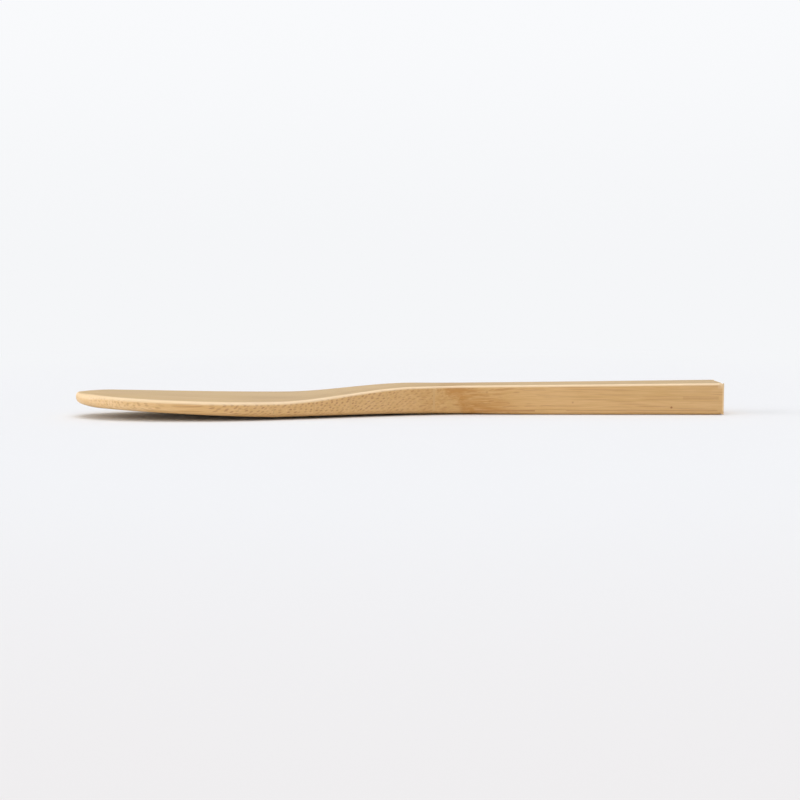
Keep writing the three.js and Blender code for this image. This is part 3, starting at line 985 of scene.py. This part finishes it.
def in_handle(node):
    """Whether a strip runs along the whole handle."""
    return node.startswith("handle")


def bundle_spacing(node):
    """Distance between bundles in one strip: they crowd together in the outermost strips, at the stem's
    skin."""
    look = settings().finish
    low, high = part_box(node)
    at_skin = low.y < CAD_BOX[0].y + SKIN_MARGIN or high.y > CAD_BOX[1].y - SKIN_MARGIN
    inner_share = HANDLE_SKIN_SHARE if in_handle(node) else BLADE_SKIN_SHARE
    return mix(look.inner_spacing, look.outer_spacing, 1.0 if at_skin else inner_share)


def marks_on(graph, place, marks):
    """The darkest of several marks at each place."""
    darkest = 0.0
    for start, length, height, radius, strength in marks:
        mark = graph.use(
            shared_group("Mark", mark_group),
            {"Place": place, "Start": start, "Length": length, "Height": height, "Radius": radius},
        )["Mark"]
        darkest = graph.math("MAXIMUM", darkest, graph.times(mark, strength))
    return darkest


def nose_pale_and_lit(graph, place):
    """1 on the sanded rim at the nose of the blade, made paler partly as end grain and partly as painted
    light, and 0 on its broad faces and towards the handle.
    """
    beside = graph.math("SUBTRACT", 1.0, graph.attribute(BROAD_FACE))
    return graph.times(graph.ease(graph.parts(place)["X"], *NOSE_PALE_AND_LIT), beside)


def bundle_dots(graph, node, place, bundles, upset):
    """How strongly the bundles of one strip show: most along the blade, less on the handle and not at all at
    the very nose. The handle's near side has its marks among them."""
    along = graph.parts(place)["X"]
    plain = HANDLE_DOTS if in_handle(node) else graph.ease(along, *BLADE_DOTS_FADE, *BLADE_DOTS)
    strength = graph.ease(upset, 0.0, 1.0, plain, JOINT_DOTS)
    from_nose = graph.times(graph.ease(along, *DOTS_BEGIN), graph.ease(along, *NOSE_DOTS_GROW, *NOSE_DOTS))
    dots = graph.times(bundles, graph.times(strength, from_nose))
    if node == MARKED_NODE:
        dots = graph.math("MAXIMUM", dots, marks_on(graph, place, HANDLE_MARKS))
    return dots


def strip_tone(graph, node, index, place):
    """Brightness of one strip: its own tone, dimmed a little along the blade or the handle."""
    tone = 1.0 + TONE_SPREAD * math.sin(TONE_STEP * index)
    stretch = HANDLE_DIMS if in_handle(node) else BLADE_DIMS
    first, last = HANDLE_TONES if in_handle(node) else BLADE_TONES
    return graph.ease(graph.parts(place)["X"], *stretch, first * tone, last * tone)


def bamboo_material(node, index):
    """The bamboo of one strip, with its own run of fibres. The stem's joint crosses all handle strips at one
    place, give or take a little, because they were split from one length of stem."""
    look, shape = settings().finish, settings().shape
    material, graph, surface, place = new_material("Bamboo of " + node)
    seed = SEED_STEP * index
    joint_shift = JOINT_SHIFT * math.sin(JOINT_SHIFT_STEP * index)
    joint = graph.use(
        shared_group("Stem Node", stem_node_group),
        {
            "Place": place,
            "Node Place": (look.node_place - shape.length / 2) / MM + joint_shift,
            "Length": look.node_length / MM,
            "Tail": look.node_tail / MM,
            "Seed": seed,
        },
    )
    bundles = graph.use(
        shared_group("Fibre Bundles", fibre_bundle_group),
        {
            "Place": place,
            "Spacing": bundle_spacing(node) / MM,
            "Layer Spacing": look.layer_spacing / MM,
            "Upset": joint["Upset"],
            "Seed": seed,
        },
    )["Bundles"]
    fine = graph.use(
        shared_group("Fine Fibres", fine_fibre_group),
        {"Place": place, "Upset": joint["Upset"], "Seed": seed},
    )
    off_faces = graph.math("MULTIPLY_ADD", graph.attribute(BROAD_FACE), JOINT_LOSS_ON_FACES, 1.0)
    colour_out = graph.use(
        shared_group("Bamboo Colour", bamboo_colour_group),
        {
            "Ground": opaque(look.ground),
            "Bundle": opaque(look.bundle),
            "Stem Node": opaque(look.stem_node),
            # Pale nose colour: partly end grain, partly painted light.
            "Pale": opaque(look.pale),
            "Nose": nose_pale_and_lit(graph, place),
            "Bundles": bundle_dots(graph, node, place, bundles, joint["Upset"]),
            "Band": graph.times(joint["Band"], off_faces),
            "Streaks": fine["Streaks"],
            "Patches": fine["Patches"],
            "Upset": joint["Upset"],
            "Tone": strip_tone(graph, node, index, place),
        },
    )["Colour"]
    finish_surface(graph, surface, place, colour_out, fine["Streaks"], bundles)
    return material


def glue_material():
    """Hardened glue: a line a little darker than the bamboo, sanded flush, stained unevenly along its length
    and at the nose as pale as the bamboo there, partly end grain and partly painted light."""
    look = settings().finish
    material, graph, surface, place = new_material("Glue")
    fine = graph.use(
        shared_group("Fine Fibres", fine_fibre_group),
        {"Place": place, "Upset": 0.0, "Seed": GLUE_SEED},
    )
    stain = graph.ease(fine["Patches"], -0.5, 0.5, to_high=GLUE_STAIN)
    stained = graph.mix(stain, opaque(look.glue), opaque(look.ground))
    pale_share = graph.times(nose_pale_and_lit(graph, place), GLUE_PALE_AND_LIT_SHARE)
    colour_out = graph.mix(pale_share, stained, opaque(look.pale))
    finish_surface(graph, surface, place, colour_out, fine["Streaks"], bundles=0.0)
    return material


# Stage. Its lengths are metres.

FLOOR_HALF_WIDTH = 4.0
FLOOR_FADE = (0.2, 0.55)
FLOOR_PALING = (-0.5, 0.3)
FLOOR_PALING_BEHIND_CAMERA = (-0.8, -1.8)
SKY_PALING = (0.0, 0.2)
CAMERA_CLIP_START = 0.01


def direction(azimuth, elevation):
    """Unit vector towards a place round the spatula. Azimuth is measured from the front towards the blade."""
    flat = math.cos(elevation)
    return Vector((-math.sin(azimuth) * flat, -math.cos(azimuth) * flat, math.sin(elevation)))


def add_aimed(name, data, location, back):
    """Adds a camera or a light that looks away from a direction."""
    item = bpy.data.objects.new(name, data)
    item.location = location
    item.rotation_euler = (-back).to_track_quat("-Z", "Y").to_euler()
    bpy.context.scene.collection.objects.link(item)
    return item


def camera_object():
    """A camera at the photographed angle, aimed at a point just above the middle of the spatula."""
    stage = settings().stage
    aim = Vector((stage.aim_along, HANDLE_AXIS, stage.aim_height))
    back = direction(stage.camera_turn, stage.camera_elevation)
    data = bpy.data.cameras.new("Camera")
    data.sensor_width = SENSOR_WIDTH
    data.lens = stage.focal_pixels / PHOTO_WIDTH * SENSOR_WIDTH
    data.clip_start = CAMERA_CLIP_START
    return add_aimed("Camera", data, aim + back * stage.camera_distance, back)


def soft_light(name, strength, azimuth, elevation, spread):
    """A wide, distant soft light."""
    data = bpy.data.lights.new(name, "SUN")
    data.energy = strength
    data.angle = spread
    back = direction(azimuth, elevation)
    add_aimed(name, data, back, back)


def floor_object():
    """A flat floor. Near the spatula it is plain and takes its shadow; further out it turns into the even
    backdrop colour that the camera sees, a little darker towards the camera."""
    stage = settings().stage
    half = FLOOR_HALF_WIDTH
    corners = np.array([(-half, -half, 0), (half, -half, 0), (half, half, 0), (-half, half, 0)])
    mesh = bpy.data.meshes.new("Floor")
    mesh.from_pydata(corners, [], [(0, 1, 2, 3)])
    floor = bpy.data.objects.new("Floor", mesh)
    bpy.context.scene.collection.objects.link(floor)
    material = bpy.data.materials.new("Floor")
    material.use_nodes = True
    material.node_tree.nodes.clear()
    graph = Graph(material.node_tree)
    place = graph.add("ShaderNodeTexCoord", {}).outputs["Object"]
    fade = graph.ease(graph.length(place), *FLOOR_FADE)
    seen = graph.times(graph.add("ShaderNodeLightPath", {}).outputs["Is Camera Ray"], fade)
    back = graph.parts(place)["Y"]
    behind_camera = graph.ease(back, *FLOOR_PALING_BEHIND_CAMERA)
    pale_share = graph.math("MAXIMUM", graph.ease(back, *FLOOR_PALING), behind_camera)
    shade = graph.mix(pale_share, opaque(stage.floor_near), opaque(stage.floor_far))
    plain = graph.add("ShaderNodeBsdfDiffuse", {"Color": opaque(stage.floor)}).outputs[0]
    glow = graph.add("ShaderNodeEmission", {"Color": shade}).outputs[0]
    both = graph.add("ShaderNodeMixShader", {0: seen, 1: plain, 2: glow}).outputs[0]
    graph.add("ShaderNodeOutputMaterial", {"Surface": both})
    mesh.materials.append(material)


def world_light():
    """Even light from all round. The camera and gloss see the pale backdrop instead, a little lighter higher
    up."""
    stage = settings().stage
    world = bpy.data.worlds.new("Studio")
    bpy.context.scene.world = world
    world.use_nodes = True
    world.node_tree.nodes.clear()
    graph = Graph(world.node_tree)
    height = graph.parts(graph.add("ShaderNodeTexCoord", {}).outputs["Generated"])["Z"]
    backdrop = graph.mix(graph.ease(height, *SKY_PALING), opaque(stage.floor_far), opaque(stage.sky_top))
    path = graph.add("ShaderNodeLightPath", {}).outputs
    direct = graph.math("MAXIMUM", path["Is Camera Ray"], path["Is Glossy Ray"])
    seen = graph.math("MAXIMUM", direct, path["Is Transmission Ray"])
    white = opaque((1.0, 1.0, 1.0))
    light = graph.add("ShaderNodeBackground", {"Color": white, "Strength": stage.sky_strength}).outputs[0]
    shown = graph.add("ShaderNodeBackground", {"Color": backdrop, "Strength": 1.0}).outputs[0]
    both = graph.add("ShaderNodeMixShader", {0: seen, 1: light, 2: shown}).outputs[0]
    graph.add("ShaderNodeOutputWorld", {"Surface": both})


class SPATULA_OT_bamboo_strips(bpy.types.Operator):
    """Build the bamboo strips of the blade and the handle"""

    bl_idname = "spatula.bamboo_strips"
    bl_label = "Bamboo Strips"

    def execute(self, context):
        columns = settings().division.strip_columns
        for index, node in enumerate(STRIP_NODES):
            add_slab(node, "_bamboo", columns, bamboo_material(node, index))
        return {"FINISHED"}


class SPATULA_OT_glue_films(bpy.types.Operator):
    """Build the glue films between the strips"""

    bl_idname = "spatula.glue_films"
    bl_label = "Glue Films"

    def execute(self, context):
        material = glue_material()
        for node in GLUE_NODES:
            add_slab(node, "_film", settings().division.glue_columns, material)
        return {"FINISHED"}


class SPATULA_OT_stage(bpy.types.Operator):
    """Set up the floor, the light and the camera"""

    bl_idname = "spatula.stage"
    bl_label = "Stage"

    def execute(self, context):
        stage = settings().stage
        context.scene.view_settings.view_transform = "Standard"
        floor_object()
        world_light()
        top = (stage.top_strength, stage.top_azimuth, stage.top_elevation, stage.top_spread)
        front = (stage.front_strength, stage.front_azimuth, stage.front_elevation, stage.front_spread)
        side = (stage.side_strength, stage.side_azimuth, stage.side_elevation, stage.side_spread)
        for name, light in (("Top light", top), ("Front light", front), ("Side light", side)):
            soft_light(name, *light)
        context.scene.camera = camera_object()
        return {"FINISHED"}


class SpatulaSettings(bpy.types.PropertyGroup):
    """All settings of the spatula and its stage."""

    shape: PointerProperty(type=SpatulaShape)
    division: PointerProperty(type=SpatulaMesh)
    finish: PointerProperty(type=SpatulaFinish)
    stage: PointerProperty(type=SpatulaStage)


OPERATORS = (SPATULA_OT_stage, SPATULA_OT_bamboo_strips, SPATULA_OT_glue_films)


class SPATULA_PT_panel(bpy.types.Panel):
    """Lists what builds the spatula"""

    bl_label = "Bamboo Spatula"
    bl_idname = "SPATULA_PT_panel"
    bl_space_type = "VIEW_3D"
    bl_region_type = "UI"
    bl_category = "Spatula"

    def draw(self, context):
        for operator in OPERATORS:
            self.layout.operator(operator.bl_idname)


PROPERTY_GROUPS = (SpatulaShape, SpatulaMesh, SpatulaFinish, SpatulaStage, SpatulaSettings)
CLASSES = (*PROPERTY_GROUPS, *OPERATORS, SPATULA_PT_panel)


def register():
    for cls in CLASSES:
        bpy.utils.register_class(cls)
    bpy.types.Scene.bamboo_spatula = PointerProperty(type=SpatulaSettings)


def unregister():
    del bpy.types.Scene.bamboo_spatula
    for cls in reversed(CLASSES):
        bpy.utils.unregister_class(cls)


def main():
    register()
    bpy.ops.spatula.stage()
    bpy.ops.spatula.bamboo_strips()
    bpy.ops.spatula.glue_films()


if __name__ == "__main__":
    main()
